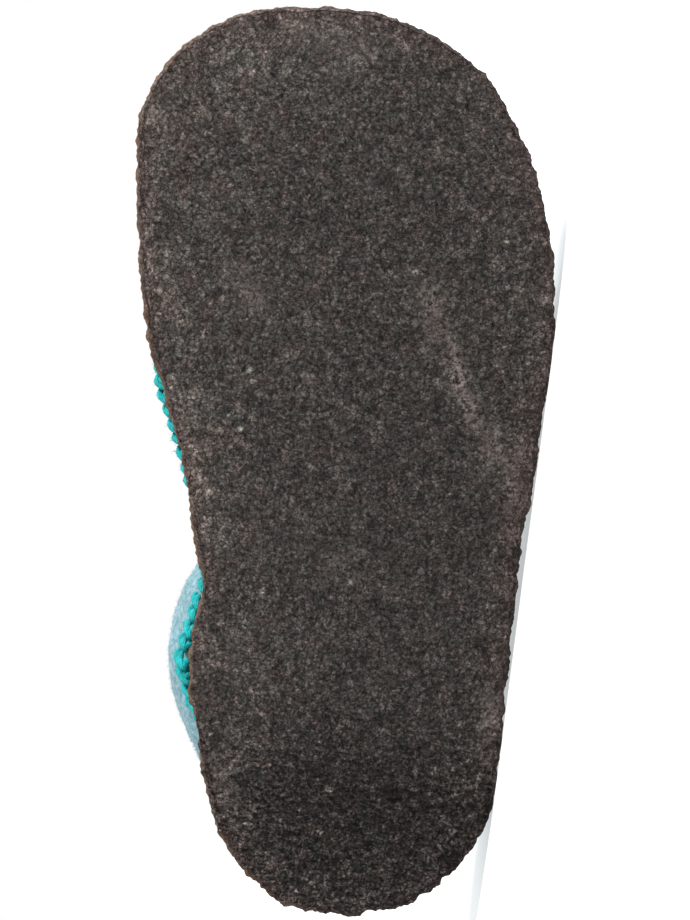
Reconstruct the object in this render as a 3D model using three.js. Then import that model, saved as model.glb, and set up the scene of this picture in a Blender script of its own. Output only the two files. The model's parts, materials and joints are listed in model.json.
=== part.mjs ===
// A child's boiled-wool house slipper for the left foot, lying on its outer side.
// Millimetres. The slipper is worked out standing: x from heel to toe, y towards the outer side
// of the foot, z up from the tread. The last function turns it over onto the floor.
import * as THREE from "three";

// Driving sizes
const SOLE_LENGTH = 160;
const SOLE_THICKNESS = 4.6;
const SOLE_EDGE_ROUND = 1.5;
const TOE_SPRING = 3.5;
const TOE_SPRING_FROM = 122;
const HEEL_SPRING = 0.8;
const HEEL_SPRING_UP_TO = 12;
const SPINE_FROM = 25;
const SPINE_TO = 96;
const WALL = 2.8;
const GAP = 0.3;
const INSOLE_THICKNESS = 2.6;
const INSOLE_CLEARANCE = 0.7;
const COLLAR_CENTRE = { x: 50, y: -1 };
const COLLAR_FRONT_REACH = 43;
const COLLAR_BACK_REACH = 41.5;
const COLLAR_HALF_WIDTH = 22;
const COLLAR_ROUND = 0.9;
const TOE_BOX_FULLNESS = 1.25;
const STITCH_COUNT = 150;
const STITCH_DIP = 0.5;

// How finely each piece is faceted
const UPPER_AROUND = 96;
const UPPER_UP = 13;
const SOLE_AROUND = 96;
const INSOLE_AROUND = 56;
const TREAD_SHARES = [0.34, 0.5, 0.7, 0.9];
const TOP_SHARES = [0.8, 0.38];
const INSOLE_SHARE = 0.5;
const SOLE_EDGE_ANGLES = [-60, -25, 0, 25, 60];
const OUTLINE_DIVISIONS = 2000;
const NORMAL_NUDGE = 0.01;
const RESTING_ROUNDS = 6;

// Half widths of the sole on the inner (medial) and outer (lateral) side, heel to toe
const SOLE_SECTIONS = [
  { along: 2.5, medial: 12.0, lateral: 11.6 },
  { along: 8, medial: 18.3, lateral: 18.6 },
  { along: 16.5, medial: 23.2, lateral: 24.4 },
  { along: 27, medial: 25.7, lateral: 26.7 },
  { along: 42, medial: 27.9, lateral: 28.0 },
  { along: 51, medial: 27.0, lateral: 29.1 },
  { along: 59, medial: 25.4, lateral: 29.9 },
  { along: 66, medial: 26.7, lateral: 30.5 },
  { along: 80, medial: 28.9, lateral: 33.2 },
  { along: 92, medial: 32.2, lateral: 34.8 },
  { along: 101, medial: 34.9, lateral: 36.3 },
  { along: 115, medial: 36.5, lateral: 36.1 },
  { along: 129, medial: 37.0, lateral: 33.4 },
  { along: 138, medial: 36.8, lateral: 30.0 },
  { along: 147, medial: 33.7, lateral: 25.0 },
  { along: 154, medial: 28.0, lateral: 16.5 },
  { along: 158.5, medial: 19.6, lateral: 6.4 },
];
const HEEL_TIP = { along: 0, medial: 0.4 };
const TOE_TIP = { along: SOLE_LENGTH, medial: 7.0 };

// Sections of the upper by bearing round the collar's centre: 0 is the toe, 90 the outer side.
// margin: how far the wall stands inside the sole's edge, negative where it overhangs
// swell: how far the wall bulges out between sole and collar
// turn: degrees that the wall has leaned over by the time it reaches the collar
// ramp: share of the height that climbs evenly along the vamp, as on the instep
// collar: height of the collar's edge above the floor
const UPPER_SECTIONS = [
  { bearing: -180, margin: 2.4, swell: 2.0, turn: 38, ramp: 0.0, collar: 52 },
  { bearing: -150, margin: 2.4, swell: 2.2, turn: 38, ramp: 0.0, collar: 49.5 },
  { bearing: -135, margin: 2.3, swell: 3.6, turn: 39, ramp: 0.0, collar: 47.5 },
  { bearing: -124, margin: 2.0, swell: 5.0, turn: 40, ramp: 0.0, collar: 46 },
  { bearing: -113, margin: 0.5, swell: 4.8, turn: 42, ramp: 0.0, collar: 44.5 },
  { bearing: -100, margin: -0.9, swell: 4.3, turn: 46, ramp: 0.0, collar: 43.5 },
  { bearing: -88, margin: 0.0, swell: 4.9, turn: 49, ramp: 0.03, collar: 43.5 },
  { bearing: -72, margin: 0.6, swell: 4.0, turn: 58, ramp: 0.1, collar: 44.5 },
  { bearing: -59, margin: 2.3, swell: 2.3, turn: 70, ramp: 0.2, collar: 46.5 },
  { bearing: -47, margin: 0.9, swell: 1.0, turn: 82, ramp: 0.27, collar: 49 },
  { bearing: -37, margin: 0.7, swell: 0.5, turn: 88, ramp: 0.32, collar: 51 },
  { bearing: -28, margin: 2.2, swell: 0.5, turn: 90, ramp: 0.35, collar: 52.5 },
  { bearing: 0, margin: 2.4, swell: 0.0, turn: 90, ramp: 0.4, collar: 54 },
  { bearing: 28, margin: 2.7, swell: 2.0, turn: 88, ramp: 0.35, collar: 52.5 },
  { bearing: 44, margin: 2.8, swell: 3.6, turn: 80, ramp: 0.26, collar: 49.5 },
  { bearing: 60, margin: 2.7, swell: 3.4, turn: 68, ramp: 0.16, collar: 46.5 },
  { bearing: 80, margin: 2.3, swell: 2.8, turn: 54, ramp: 0.05, collar: 44 },
  { bearing: 97, margin: 2.2, swell: 2.6, turn: 46, ramp: 0.0, collar: 43.5 },
  { bearing: 125, margin: 2.3, swell: 2.2, turn: 40, ramp: 0.0, collar: 46 },
  { bearing: 150, margin: 2.4, swell: 2.0, turn: 38, ramp: 0.0, collar: 49.5 },
  { bearing: 180, margin: 2.4, swell: 2.0, turn: 38, ramp: 0.0, collar: 52 },
];

// Section of the overcast seam: height up the wall from the sole, and how proud of the wall it is
const SEAM_PROFILE = [
  { height: 0.6, proud: 0.5 },
  { height: 1.7, proud: 1.7 },
  { height: 3.4, proud: 1.5 },
  { height: 5.0, proud: 0.4 },
  { height: 5.0, proud: 0.0 },
  { height: 0.6, proud: 0.0 },
];

const radians = THREE.MathUtils.degToRad;

// A smooth curve through one column of a table that is sorted by its key column
function column(rows, key, name, at) {
  const last = rows.length - 1;
  const found = rows.findIndex((row) => row[key] > at);
  const i = THREE.MathUtils.clamp(found < 0 ? last : found, 1, last) - 1;
  const [before, low, high, after] = [i - 1, i, i + 1, i + 2].map(
    (k) => rows[THREE.MathUtils.clamp(k, 0, last)],
  );
  const span = high[key] - low[key];
  const share = THREE.MathUtils.clamp((at - low[key]) / span, 0, 1);
  const slope = (a, b) => ((b[name] - a[name]) / (b[key] - a[key])) * span;
  const start = slope(before, high);
  const end = slope(low, after);
  const rise = high[name] - low[name];
  return (
    low[name] +
    share * (start + share * (3 * rise - 2 * start - end + share * (start + end - 2 * rise)))
  );
}

// The sole's outline as a closed curve: inner side from heel to toe, then the outer side back
const soleOutline = new THREE.CatmullRomCurve3(
  [
    new THREE.Vector3(HEEL_TIP.along, -HEEL_TIP.medial, 0),
    ...SOLE_SECTIONS.map((row) => new THREE.Vector3(row.along, -row.medial, 0)),
    new THREE.Vector3(TOE_TIP.along, -TOE_TIP.medial, 0),
    ...SOLE_SECTIONS.map((row) => new THREE.Vector3(row.along, row.lateral, 0)).reverse(),
  ],
  true,
  "centripetal",
);

// The point, outward direction and bearing at each of so many even steps round the outline.
// The outline runs up the inner side and back down the outer one, so outward is to its right.
function outlineSteps(count) {
  soleOutline.arcLengthDivisions = OUTLINE_DIVISIONS;
  return Array.from({ length: count }, (_, i) => {
    const point = soleOutline.getPointAt(i / count);
    const tangent = soleOutline.getTangentAt(i / count);
    const outward = new THREE.Vector3(tangent.y, -tangent.x, 0);
    const bearing = THREE.MathUtils.radToDeg(
      Math.atan2(point.y - COLLAR_CENTRE.y, point.x - COLLAR_CENTRE.x),
    );
    return { point, outward, bearing };
  });
}

// Height of the tread above the floor: flat, with a lifted toe and a trace of lift at the heel
function tread(x) {
  const toe = Math.max(0, (x - TOE_SPRING_FROM) / (SOLE_LENGTH - TOE_SPRING_FROM));
  const heel = Math.max(0, 1 - x / HEEL_SPRING_UP_TO);
  return TOE_SPRING * toe * toe + HEEL_SPRING * heel * heel;
}

const featherHeight = (x) => tread(x) + SOLE_THICKNESS + GAP;

// Outside of the upper: up is 0 where the wall meets the sole and 1 at the collar.
// Seen in plan the wall runs from the sole towards the collar's centre. In height it follows an
// arc that starts upright and leans over by the section's turn, with an even ramp added, and the
// swell is a smooth hump that fades to nothing at the sole and at the collar.
function upperPoint(step, up) {
  const section = (name) => column(UPPER_SECTIONS, "bearing", name, step.bearing);
  const foot = step.point.clone().addScaledVector(step.outward, -section("margin"));
  const angle = radians(step.bearing);
  const reach = Math.cos(angle) > 0 ? COLLAR_FRONT_REACH : COLLAR_BACK_REACH;
  const radius = 1 / Math.hypot(Math.cos(angle) / reach, Math.sin(angle) / COLLAR_HALF_WIDTH);
  const collar = new THREE.Vector3(
    COLLAR_CENTRE.x + radius * Math.cos(angle),
    COLLAR_CENTRE.y + radius * Math.sin(angle),
    0,
  );
  const turn = radians(section("turn"));
  const inward = ((1 - Math.cos(up * turn)) / (1 - Math.cos(turn))) ** TOE_BOX_FULLNESS;
  const climb = Math.sin(up * turn) / Math.sin(turn);
  const ramp = section("ramp");
  const floor = featherHeight(foot.x);
  const swell = section("swell") * (4 * climb * (1 - climb)) ** 2;
  const point = foot.clone().lerp(collar, inward).addScaledVector(step.outward, swell);
  point.z = floor + (section("collar") - floor) * ((1 - ramp) * climb + ramp * inward);
  return point;
}

// How far up the wall a point at a small height above the sole lies
function upAtHeight(step, height) {
  const turn = radians(column(UPPER_SECTIONS, "bearing", "turn", step.bearing));
  const ramp = column(UPPER_SECTIONS, "bearing", "ramp", step.bearing);
  const rise = upperPoint(step, 1).z - upperPoint(step, 0).z;
  return Math.asin((height / rise / (1 - ramp)) * Math.sin(turn)) / turn;
}

// Outward normal of the upper, from small steps up and along the wall
function upperNormal(step, next, previous, up) {
  const lower = upperPoint(step, Math.max(0, up - NORMAL_NUDGE));
  const upper = upperPoint(step, Math.min(1, up + NORMAL_NUDGE));
  const along = upperPoint(next, up).sub(upperPoint(previous, up));
  return along.cross(upper.sub(lower)).normalize();
}

// Joins rings of points, each closed round, into one closed skin: the last ring meets the first
function ringSkin(rings) {
  const count = rings[0].length;
  const index = [];
  rings.forEach((_, r) => {
    const here = r * count;
    const there = ((r + 1) % rings.length) * count;
    for (let i = 0; i < count; i++) {
      const j = (i + 1) % count;
      index.push(here + i, here + j, there + j, here + i, there + j, there + i);
    }
  });
  return skin(rings.flat(), index);
}

// As ringSkin, but the first and last ring each close on a point of their own
function cappedSkin(rings, firstCentre, lastCentre) {
  const count = rings[0].length;
  const points = [...rings.flat(), firstCentre, lastCentre];
  const first = points.length - 2;
  const last = points.length - 1;
  const index = [];
  for (let i = 0; i < count; i++) {
    const j = (i + 1) % count;
    index.push(first, j, i);
    for (let r = 0; r + 1 < rings.length; r++) {
      const here = r * count;
      const there = here + count;
      index.push(here + i, here + j, there + j, here + i, there + j, there + i);
    }
    const end = (rings.length - 1) * count;
    index.push(last, end + i, end + j);
  }
  return skin(points, index);
}

function skin(points, index) {
  const geometry = new THREE.BufferGeometry().setFromPoints(points);
  geometry.setIndex(index);
  geometry.computeVertexNormals();
  return geometry;
}

// A ring at a share of the way out from the sole's spine, a stretch of its middle line, to its
// outline, at a height over the tread
function soleRing(steps, inset, share, height) {
  return steps.map((step) => {
    const edge = step.point.clone().addScaledVector(step.outward, -inset);
    const spine = new THREE.Vector3(THREE.MathUtils.clamp(edge.x, SPINE_FROM, SPINE_TO), 0, 0);
    const point = spine.lerp(edge, share);
    return point.setZ(tread(point.x) + height);
  });
}

const soleCentre = (height) => new THREE.Vector3(SOLE_LENGTH / 2, 0, height);

// One flexible rubber slab with a rounded edge that is widest at half its height
function outsoleGeometry() {
  const steps = outlineSteps(SOLE_AROUND);
  const steepest = SOLE_EDGE_ANGLES.at(-1);
  const edge = SOLE_EDGE_ANGLES.map((degrees) => ({
    inset: SOLE_EDGE_ROUND * (1 - Math.cos(radians(degrees))),
    height: (SOLE_THICKNESS / 2) * (1 + Math.sin(radians(degrees)) / Math.sin(radians(steepest))),
  }));
  const rings = [
    ...TREAD_SHARES.map((share) => soleRing(steps, edge[0].inset, share, 0)),
    ...edge.map(({ inset, height }) => soleRing(steps, inset, 1, height)),
    ...TOP_SHARES.map((share) => soleRing(steps, edge[0].inset, share, SOLE_THICKNESS)),
  ];
  return cappedSkin(rings, soleCentre(0), soleCentre(SOLE_THICKNESS));
}

// The felt footbed, a loose slab inside the wall
function insoleGeometry() {
  const steps = outlineSteps(INSOLE_AROUND).map((step) => ({
    ...step,
    point: step.point
      .clone()
      .addScaledVector(step.outward, -column(UPPER_SECTIONS, "bearing", "margin", step.bearing)),
  }));
  const inset = WALL + INSOLE_CLEARANCE;
  const low = SOLE_THICKNESS + GAP;
  const high = low + INSOLE_THICKNESS;
  const rings = [
    soleRing(steps, inset, INSOLE_SHARE, low),
    soleRing(steps, inset, 1, low),
    soleRing(steps, inset, 1, high),
    soleRing(steps, inset, INSOLE_SHARE, high),
  ];
  return cappedSkin(rings, soleCentre(low), soleCentre(high));
}

// The hollow upper: outer wall up to the collar, round its edge, and down the inside
function upperGeometry() {
  const steps = outlineSteps(UPPER_AROUND);
  const ups = Array.from({ length: UPPER_UP }, (_, i) => i / (UPPER_UP - 1));
  const around = (i) => steps[(i + UPPER_AROUND) % UPPER_AROUND];
  const outer = ups.map((up) => steps.map((step) => upperPoint(step, up)));
  const inner = ups.map((up) =>
    steps.map((step, i) =>
      upperPoint(step, up).addScaledVector(
        upperNormal(step, around(i + 1), around(i - 1), up),
        -WALL,
      ),
    ),
  );
  inner[0].forEach((point, i) => point.setZ(outer[0][i].z));
  const lip = outer.at(-1).map((point, i) => {
    const rise = point.clone().sub(outer.at(-2)[i]).normalize();
    return point.clone().lerp(inner.at(-1)[i], 0.5).addScaledVector(rise, COLLAR_ROUND);
  });
  return ringSkin([...outer, lip, ...inner.reverse()]);
}

// The overcast seam that joins upper and sole: a raised band on the wall, cut between two offsets
// of the wall itself, that swells at each stitch and dips between them
function seamGeometry() {
  const steps = outlineSteps(2 * STITCH_COUNT);
  const around = (i) => steps[(i + steps.length) % steps.length];
  const ring = ({ height, proud }) =>
    steps.map((step, i) => {
      const up = upAtHeight(step, height);
      const normal = upperNormal(step, around(i + 1), around(i - 1), up);
      const swell = i % 2 === 0 ? 1 : STITCH_DIP;
      return upperPoint(step, up).addScaledVector(normal, GAP + proud * swell);
    });
  return ringSkin(SEAM_PROFILE.map(ring));
}

const rubber = new THREE.MeshStandardMaterial({ color: "#423d3a", roughness: 0.92, metalness: 0 });
const blueFelt = new THREE.MeshStandardMaterial({ color: "#9cc3cd", roughness: 1, metalness: 0 });
const greyFelt = new THREE.MeshStandardMaterial({ color: "#8a8d90", roughness: 1, metalness: 0 });
const yarn = new THREE.MeshStandardMaterial({ color: "#119c99", roughness: 0.95, metalness: 0 });

function piece(name, geometry, material) {
  const mesh = new THREE.Mesh(geometry, material);
  mesh.name = name;
  return mesh;
}

const slipper = new THREE.Group();
const outsole = piece("outsole", outsoleGeometry(), rubber);
const upper = piece("upper", upperGeometry(), blueFelt);
const insole = piece("insole", insoleGeometry(), greyFelt);
const seam = piece("seam_stitches", seamGeometry(), yarn);
slipper.add(outsole, upper, insole, seam);

const vertices = (geometry) => {
  const place = geometry.getAttribute("position");
  return Array.from({ length: place.count }, (_, i) =>
    new THREE.Vector3().fromBufferAttribute(place, i),
  );
};

// The way down when the slipper lies on its side: it lies on the sole's edge at the ball of the
// foot and at the heel, and rolls on that edge until the upper comes to rest
function restingDirection(sole, upper) {
  const farthest = (list, direction) =>
    list.reduce((best, point) => (point.dot(direction) > best.dot(direction) ? point : best));
  const front = sole.filter((point) => point.x > SOLE_LENGTH / 2);
  const rear = sole.filter((point) => point.x <= SOLE_LENGTH / 2);
  const down = new THREE.Vector3(0, 1, 0);
  const edge = new THREE.Vector3();
  let heel;
  for (let round = 0; round < RESTING_ROUNDS; round++) {
    heel = farthest(rear, down);
    edge.copy(farthest(front, down)).sub(heel).normalize();
    down.set(0, 1, 0).projectOnPlane(edge).normalize();
  }
  const across = edge.clone().cross(down);
  const roll = Math.min(
    ...upper
      .map((point) => point.clone().sub(heel))
      .map((point) => Math.atan2(-point.dot(down), point.dot(across))),
  );
  return down.multiplyScalar(Math.cos(roll)).addScaledVector(across, Math.sin(roll));
}

// Turns the slipper so that it lies on the floor, toe along +x and tread along -y, and sets the
// origin under the middle of it
function layDown(group, sole, upper) {
  const up = restingDirection(vertices(sole.geometry), vertices(upper.geometry)).negate();
  const toe = new THREE.Vector3(1, 0, 0).projectOnPlane(up).normalize();
  const axes = new THREE.Matrix4().makeBasis(toe, up.clone().cross(toe), up);
  group.quaternion.setFromRotationMatrix(axes.transpose());
  const box = new THREE.Box3().setFromObject(group, true);
  const middle = box.getCenter(new THREE.Vector3());
  group.position.set(-middle.x, -middle.y, -box.min.z);
}

layDown(slipper, outsole, upper);

export default slipper;
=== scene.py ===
"""A child's boiled-wool house slipper for the left foot, lying on its outer side with the tread
facing the camera. Sizes are millimetres in the shoe's own frame: x from heel to toe, y towards the
outer side of the foot, z up from the tread. place() carries them into the frame in metres."""
import json

import bpy
import numpy as np
from mathutils import Matrix, Vector


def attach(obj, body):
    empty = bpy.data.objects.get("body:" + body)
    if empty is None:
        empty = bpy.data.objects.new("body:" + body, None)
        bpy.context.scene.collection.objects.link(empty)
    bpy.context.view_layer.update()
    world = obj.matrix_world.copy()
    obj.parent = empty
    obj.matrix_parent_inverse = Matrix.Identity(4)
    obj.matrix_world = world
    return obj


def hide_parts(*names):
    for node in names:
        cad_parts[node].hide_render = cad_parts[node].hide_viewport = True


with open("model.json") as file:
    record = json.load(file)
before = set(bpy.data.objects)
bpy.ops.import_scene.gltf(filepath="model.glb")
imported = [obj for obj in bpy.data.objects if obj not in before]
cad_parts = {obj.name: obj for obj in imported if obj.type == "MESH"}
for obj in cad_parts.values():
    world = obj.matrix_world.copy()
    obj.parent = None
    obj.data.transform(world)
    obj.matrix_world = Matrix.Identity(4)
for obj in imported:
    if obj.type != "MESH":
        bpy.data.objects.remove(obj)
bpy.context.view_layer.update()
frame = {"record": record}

# Driving sizes of the slipper
SOLE_LENGTH = 160.0
SOLE_THICKNESS = 4.6
SOLE_EDGE_ROUND = 1.5
SOLE_EDGE_STEEPEST = 60.0
TOE_SPRING, TOE_SPRING_FROM = 3.5, 122.0
HEEL_SPRING, HEEL_SPRING_UP_TO = 0.8, 12.0
HEEL_MOUNT_ALONG = 25.0
WALL = 2.8
GAP = 0.3
COLLAR_CENTRE = np.array([50.0, -1.0])
COLLAR_FRONT_REACH, COLLAR_BACK_REACH, COLLAR_HALF_WIDTH = 43.0, 41.5, 22.0
COLLAR_ROUND = 1.1
TOE_BOX_FULLNESS = 1.25
INSOLE_THICKNESS, INSOLE_CLEARANCE = 2.6, 0.7
STITCH_COUNT = 150

# Sole: distance from the heel, half width on the inner side, half width on the outer side
SOLE_SECTIONS = np.array([
    (2.5, 12.0, 11.6), (8, 18.3, 18.6), (16.5, 23.2, 24.4), (27, 25.7, 26.7), (42, 27.9, 28.0),
    (51, 27.0, 29.1), (59, 25.4, 29.9), (66, 26.7, 30.5), (80, 28.9, 33.2), (92, 32.2, 34.8),
    (101, 34.9, 36.3), (115, 36.5, 36.1), (129, 37.0, 33.4), (138, 36.8, 30.0), (147, 33.7, 25.0),
    (154, 28.0, 16.5), (158.5, 19.6, 6.4),
])
HEEL_TIP, TOE_TIP = (0.0, -0.4), (SOLE_LENGTH, -7.0)

# Upper, by bearing round the collar's centre (0 the toe, 90 the outer side): margin inside the
# sole's edge, swell of the wall, degrees it leans over, share of even ramp, height of the collar
UPPER_COLUMNS = ("margin", "swell", "turn", "ramp", "collar")
UPPER_SECTIONS = np.array([
    (-180, 2.4, 2.0, 38, 0.00, 52.0), (-150, 2.4, 2.2, 38, 0.00, 49.5),
    (-135, 2.3, 3.6, 39, 0.00, 47.5), (-124, 2.0, 5.0, 40, 0.00, 46.0),
    (-113, 0.5, 4.8, 42, 0.00, 44.5), (-100, -0.9, 4.3, 46, 0.00, 43.5),
    (-88, 0.0, 4.9, 49, 0.03, 43.5), (-72, 0.6, 4.0, 58, 0.10, 44.5),
    (-59, 2.3, 2.3, 70, 0.20, 46.5), (-47, 0.9, 1.0, 82, 0.27, 49.0),
    (-37, 0.7, 0.5, 88, 0.32, 51.0), (-28, 2.2, 0.5, 90, 0.35, 52.5),
    (0, 2.4, 0.0, 90, 0.40, 54.0), (28, 2.7, 2.0, 88, 0.35, 52.5),
    (44, 2.8, 3.6, 80, 0.26, 49.5), (60, 2.7, 3.4, 68, 0.16, 46.5),
    (80, 2.3, 2.8, 54, 0.05, 44.0), (97, 2.2, 2.6, 46, 0.00, 43.5),
    (125, 2.3, 2.2, 40, 0.00, 46.0), (150, 2.4, 2.0, 38, 0.00, 49.5),
    (180, 2.4, 2.0, 38, 0.00, 52.0),
])

# The photograph: its frame, and where the sole's box lies in it
PHOTO_WIDTH, PHOTO_HEIGHT = 690, 920
PHOTO_SOLE_TOP, PHOTO_SOLE_BOTTOM = 6.7, 914.2
PHOTO_MIDDLE_LINE = 347.0
CAMERA_LENS = 200.0
CAMERA_SENSOR = 36.0
EDGE_BEHIND_TREAD = 4.4

SEED = 7


# Placing

def shoe_axes():
    """The shoe's frame in the row: the two flat spots of the tread give its origin and long axis,
    and the way they face gives its up axis."""
    mounts = {mount["name"]: mount for mount in frame["record"]["mounts"]}
    heel = np.array(mounts["heel_tread"]["pos_m"])
    toe = np.array(mounts["forefoot_tread"]["pos_m"])
    along = (toe - heel) / np.linalg.norm(toe - heel)
    up = -np.array(mounts["heel_tread"]["axis"])
    up /= np.linalg.norm(up)
    across = np.cross(up, along)
    return heel - HEEL_MOUNT_ALONG / 1000 * along, np.stack([along, across, up])


SHOE_ORIGIN, SHOE_AXES = shoe_axes()


def place(points):
    """Shoe millimetres to metres in the row. Nothing goes below the floor: what would is flattened."""
    placed = SHOE_ORIGIN + points / 1000 @ SHOE_AXES
    placed[..., 2] = np.maximum(placed[..., 2], 0)
    return placed


# Noise

def hashed(cells, seed):
    """A repeatable random number from 0 to 1 for each whole-number cell."""
    mixed = np.full(cells.shape[:-1], seed, np.uint32)
    for axis in range(cells.shape[-1]):
        mixed = (mixed ^ cells[..., axis].astype(np.int64).astype(np.uint32)) * np.uint32(0x9E3779B1)
        mixed ^= mixed >> np.uint32(15)
        mixed *= np.uint32(0x85EBCA6B)
        mixed ^= mixed >> np.uint32(13)
    return mixed / 2.0**32


def corners(reach):
    """Every whole-number offset of the lattice corners in a cube from reach[0] up to reach[1]."""
    steps = np.arange(reach[0], reach[1])
    return np.stack(np.meshgrid(steps, steps, steps, indexing="ij"), -1).reshape(-1, 3)


def lumps(points, size, seed):
    """Value noise from -1 to 1: random heights on a cubic lattice of that size, blended smoothly."""
    spots = points / size
    cell = np.floor(spots)
    part = spots - cell
    part = part * part * (3 - 2 * part)
    total = np.zeros(points.shape[:-1])
    for corner in corners((0, 2)):
        weight = np.prod(np.where(corner, part, 1 - part), axis=-1)
        total += weight * hashed(cell + corner, seed)
    return 2 * total - 1


def crumbs(points, size, seed):
    """Cell noise: the distance, in cells, to the nearest of one random spot in each lattice cell."""
    spots = points / size
    cell = np.floor(spots)
    nearest = np.full(points.shape[:-1], np.inf)
    for corner in corners((-1, 2)):
        there = cell + corner
        jitter = np.stack([hashed(there, seed + axis) for axis in range(3)], -1)
        nearest = np.minimum(nearest, np.linalg.norm(there + jitter - spots, axis=-1))
    return nearest


# Shared forms of the sole and the upper

def through(keys, values, at):
    """A smooth curve through a table: each stretch is a cubic whose end slopes are those of the
    chords across its neighbours."""
    i = np.clip(np.searchsorted(keys, at, side="right") - 1, 0, len(keys) - 2)
    before, after = np.maximum(i - 1, 0), np.minimum(i + 2, len(keys) - 1)
    span = keys[i + 1] - keys[i]
    share = np.clip((at - keys[i]) / span, 0, 1)
    start = (values[i + 1] - values[before]) / (keys[i + 1] - keys[before]) * span
    end = (values[after] - values[i]) / (keys[after] - keys[i]) * span
    rise = values[i + 1] - values[i]
    bend = 3 * rise - 2 * start - end + share * (start + end - 2 * rise)
    return values[i] + share * (start + share * bend)


OUTLINE_POINTS, KNOT_DIVISIONS, TANGENT_REACH = 6000, 80, 8


def sole_outline():
    """Points evenly spaced round the sole: a closed centripetal Catmull-Rom curve through the inner
    half widths from heel to toe and the outer ones back. Also their outward directions."""
    inner = SOLE_SECTIONS[:, [0, 1]] * (1, -1)
    outer = SOLE_SECTIONS[::-1, [0, 2]]
    knots = np.concatenate([[HEEL_TIP], inner, [TOE_TIP], outer])
    before, low, high, after = (np.roll(knots, shift, axis=0)[:, None] for shift in (1, 0, -1, -2))
    step = [np.sqrt(np.linalg.norm(b - a, axis=-1, keepdims=True))
            for a, b in ((before, low), (low, high), (high, after))]
    start = step[1] * ((low - before) / step[0] - (high - before) / (step[0] + step[1])
                       + (high - low) / step[1])
    end = step[1] * ((high - low) / step[1] - (after - low) / (step[1] + step[2])
                     + (after - high) / step[2])
    share = (np.arange(KNOT_DIVISIONS) / KNOT_DIVISIONS)[None, :, None]
    rise = high - low
    curve = low + share * (start + share * (3 * rise - 2 * start - end
                                            + share * (start + end - 2 * rise)))
    curve = curve.reshape(-1, 2)
    closed = np.concatenate([curve, curve[:1]])
    length = np.concatenate([[0], np.cumsum(np.linalg.norm(np.diff(closed, axis=0), axis=1))])
    at = np.arange(OUTLINE_POINTS) / OUTLINE_POINTS * length[-1]
    points = np.stack([np.interp(at, length, closed[:, k]) for k in range(2)], -1)
    tangent = np.roll(points, -TANGENT_REACH, axis=0) - np.roll(points, TANGENT_REACH, axis=0)
    outward = np.stack([tangent[:, 1], -tangent[:, 0]], -1)
    return points, outward / np.linalg.norm(outward, axis=1, keepdims=True)


OUTLINE, OUTWARD = sole_outline()


def round_outline(share):
    """Outline point and outward direction at a share of the way round, for whole arrays."""
    spot = np.mod(share, 1) * len(OUTLINE)
    low = np.floor(spot).astype(int) % len(OUTLINE)
    high = (low + 1) % len(OUTLINE)
    part = (spot - np.floor(spot))[..., None]
    return tuple(table[low] * (1 - part) + table[high] * part for table in (OUTLINE, OUTWARD))


def tread_height(along):
    """Height of the tread above its flat: a parabola lifts the toe, and a small one the heel."""
    toe = np.maximum(0, (along - TOE_SPRING_FROM) / (SOLE_LENGTH - TOE_SPRING_FROM))
    heel = np.maximum(0, 1 - along / HEEL_SPRING_UP_TO)
    return TOE_SPRING * toe**2 + HEEL_SPRING * heel**2


def upper_sections(share):
    """Outline point, outward direction, bearing in radians and the upper's columns there."""
    point, outward = round_outline(share)
    reach = point - COLLAR_CENTRE
    bearing = np.arctan2(reach[..., 1], reach[..., 0])
    keys = UPPER_SECTIONS[:, 0]
    values = {name: through(keys, UPPER_SECTIONS[:, k + 1], np.degrees(bearing))
              for k, name in enumerate(UPPER_COLUMNS)}
    return point, outward, bearing, values


def upper_wall(share, up):
    """Outside of the upper before felting. In plan it runs from the sole's margin to the collar's
    oval along the same bearing. In height it is an arc that starts upright and leans over, plus an
    even ramp, and a hump of swell fades out at both ends. up is 0 at the sole, 1 at the collar."""
    point, outward, bearing, section = upper_sections(share)
    foot = point - outward * section["margin"][..., None]
    reach = np.where(np.cos(bearing) > 0, COLLAR_FRONT_REACH, COLLAR_BACK_REACH)
    radius = 1 / np.hypot(np.cos(bearing) / reach, np.sin(bearing) / COLLAR_HALF_WIDTH)
    collar = COLLAR_CENTRE + radius[..., None] * np.stack([np.cos(bearing), np.sin(bearing)], -1)
    turn = np.radians(section["turn"])
    inward = ((1 - np.cos(up * turn)) / (1 - np.cos(turn))) ** TOE_BOX_FULLNESS
    climb = np.sin(up * turn) / np.sin(turn)
    swell = section["swell"] * (4 * climb * (1 - climb)) ** 2
    floor = tread_height(foot[..., 0]) + SOLE_THICKNESS + GAP
    plan = foot + (collar - foot) * inward[..., None] + outward * swell[..., None]
    rise = (1 - section["ramp"]) * climb + section["ramp"] * inward
    return np.concatenate([plan, (floor + (section["collar"] - floor) * rise)[..., None]], -1)


def upper_normal(share, up, nudge=0.004):
    """Outward normal of the upper's wall, from small steps along it and up it."""
    along = upper_wall(share + nudge, up) - upper_wall(share - nudge, up)
    climb = (upper_wall(share, np.minimum(up + nudge, 1))
             - upper_wall(share, np.maximum(up - nudge, 0)))
    normal = np.cross(along, climb)
    return normal / np.linalg.norm(normal, axis=-1, keepdims=True)


def up_at_height(share, height):
    """How far up the wall a point at a small height above the sole lies."""
    section = upper_sections(share)[3]
    turn = np.radians(section["turn"])
    foot, top = (upper_wall(share, np.full_like(share, end))[..., 2] for end in (0.0, 1.0))
    climb = height / (top - foot) / (1 - section["ramp"])
    return np.arcsin(np.clip(climb * np.sin(turn), 0, 1)) / turn


# Meshes

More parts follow.
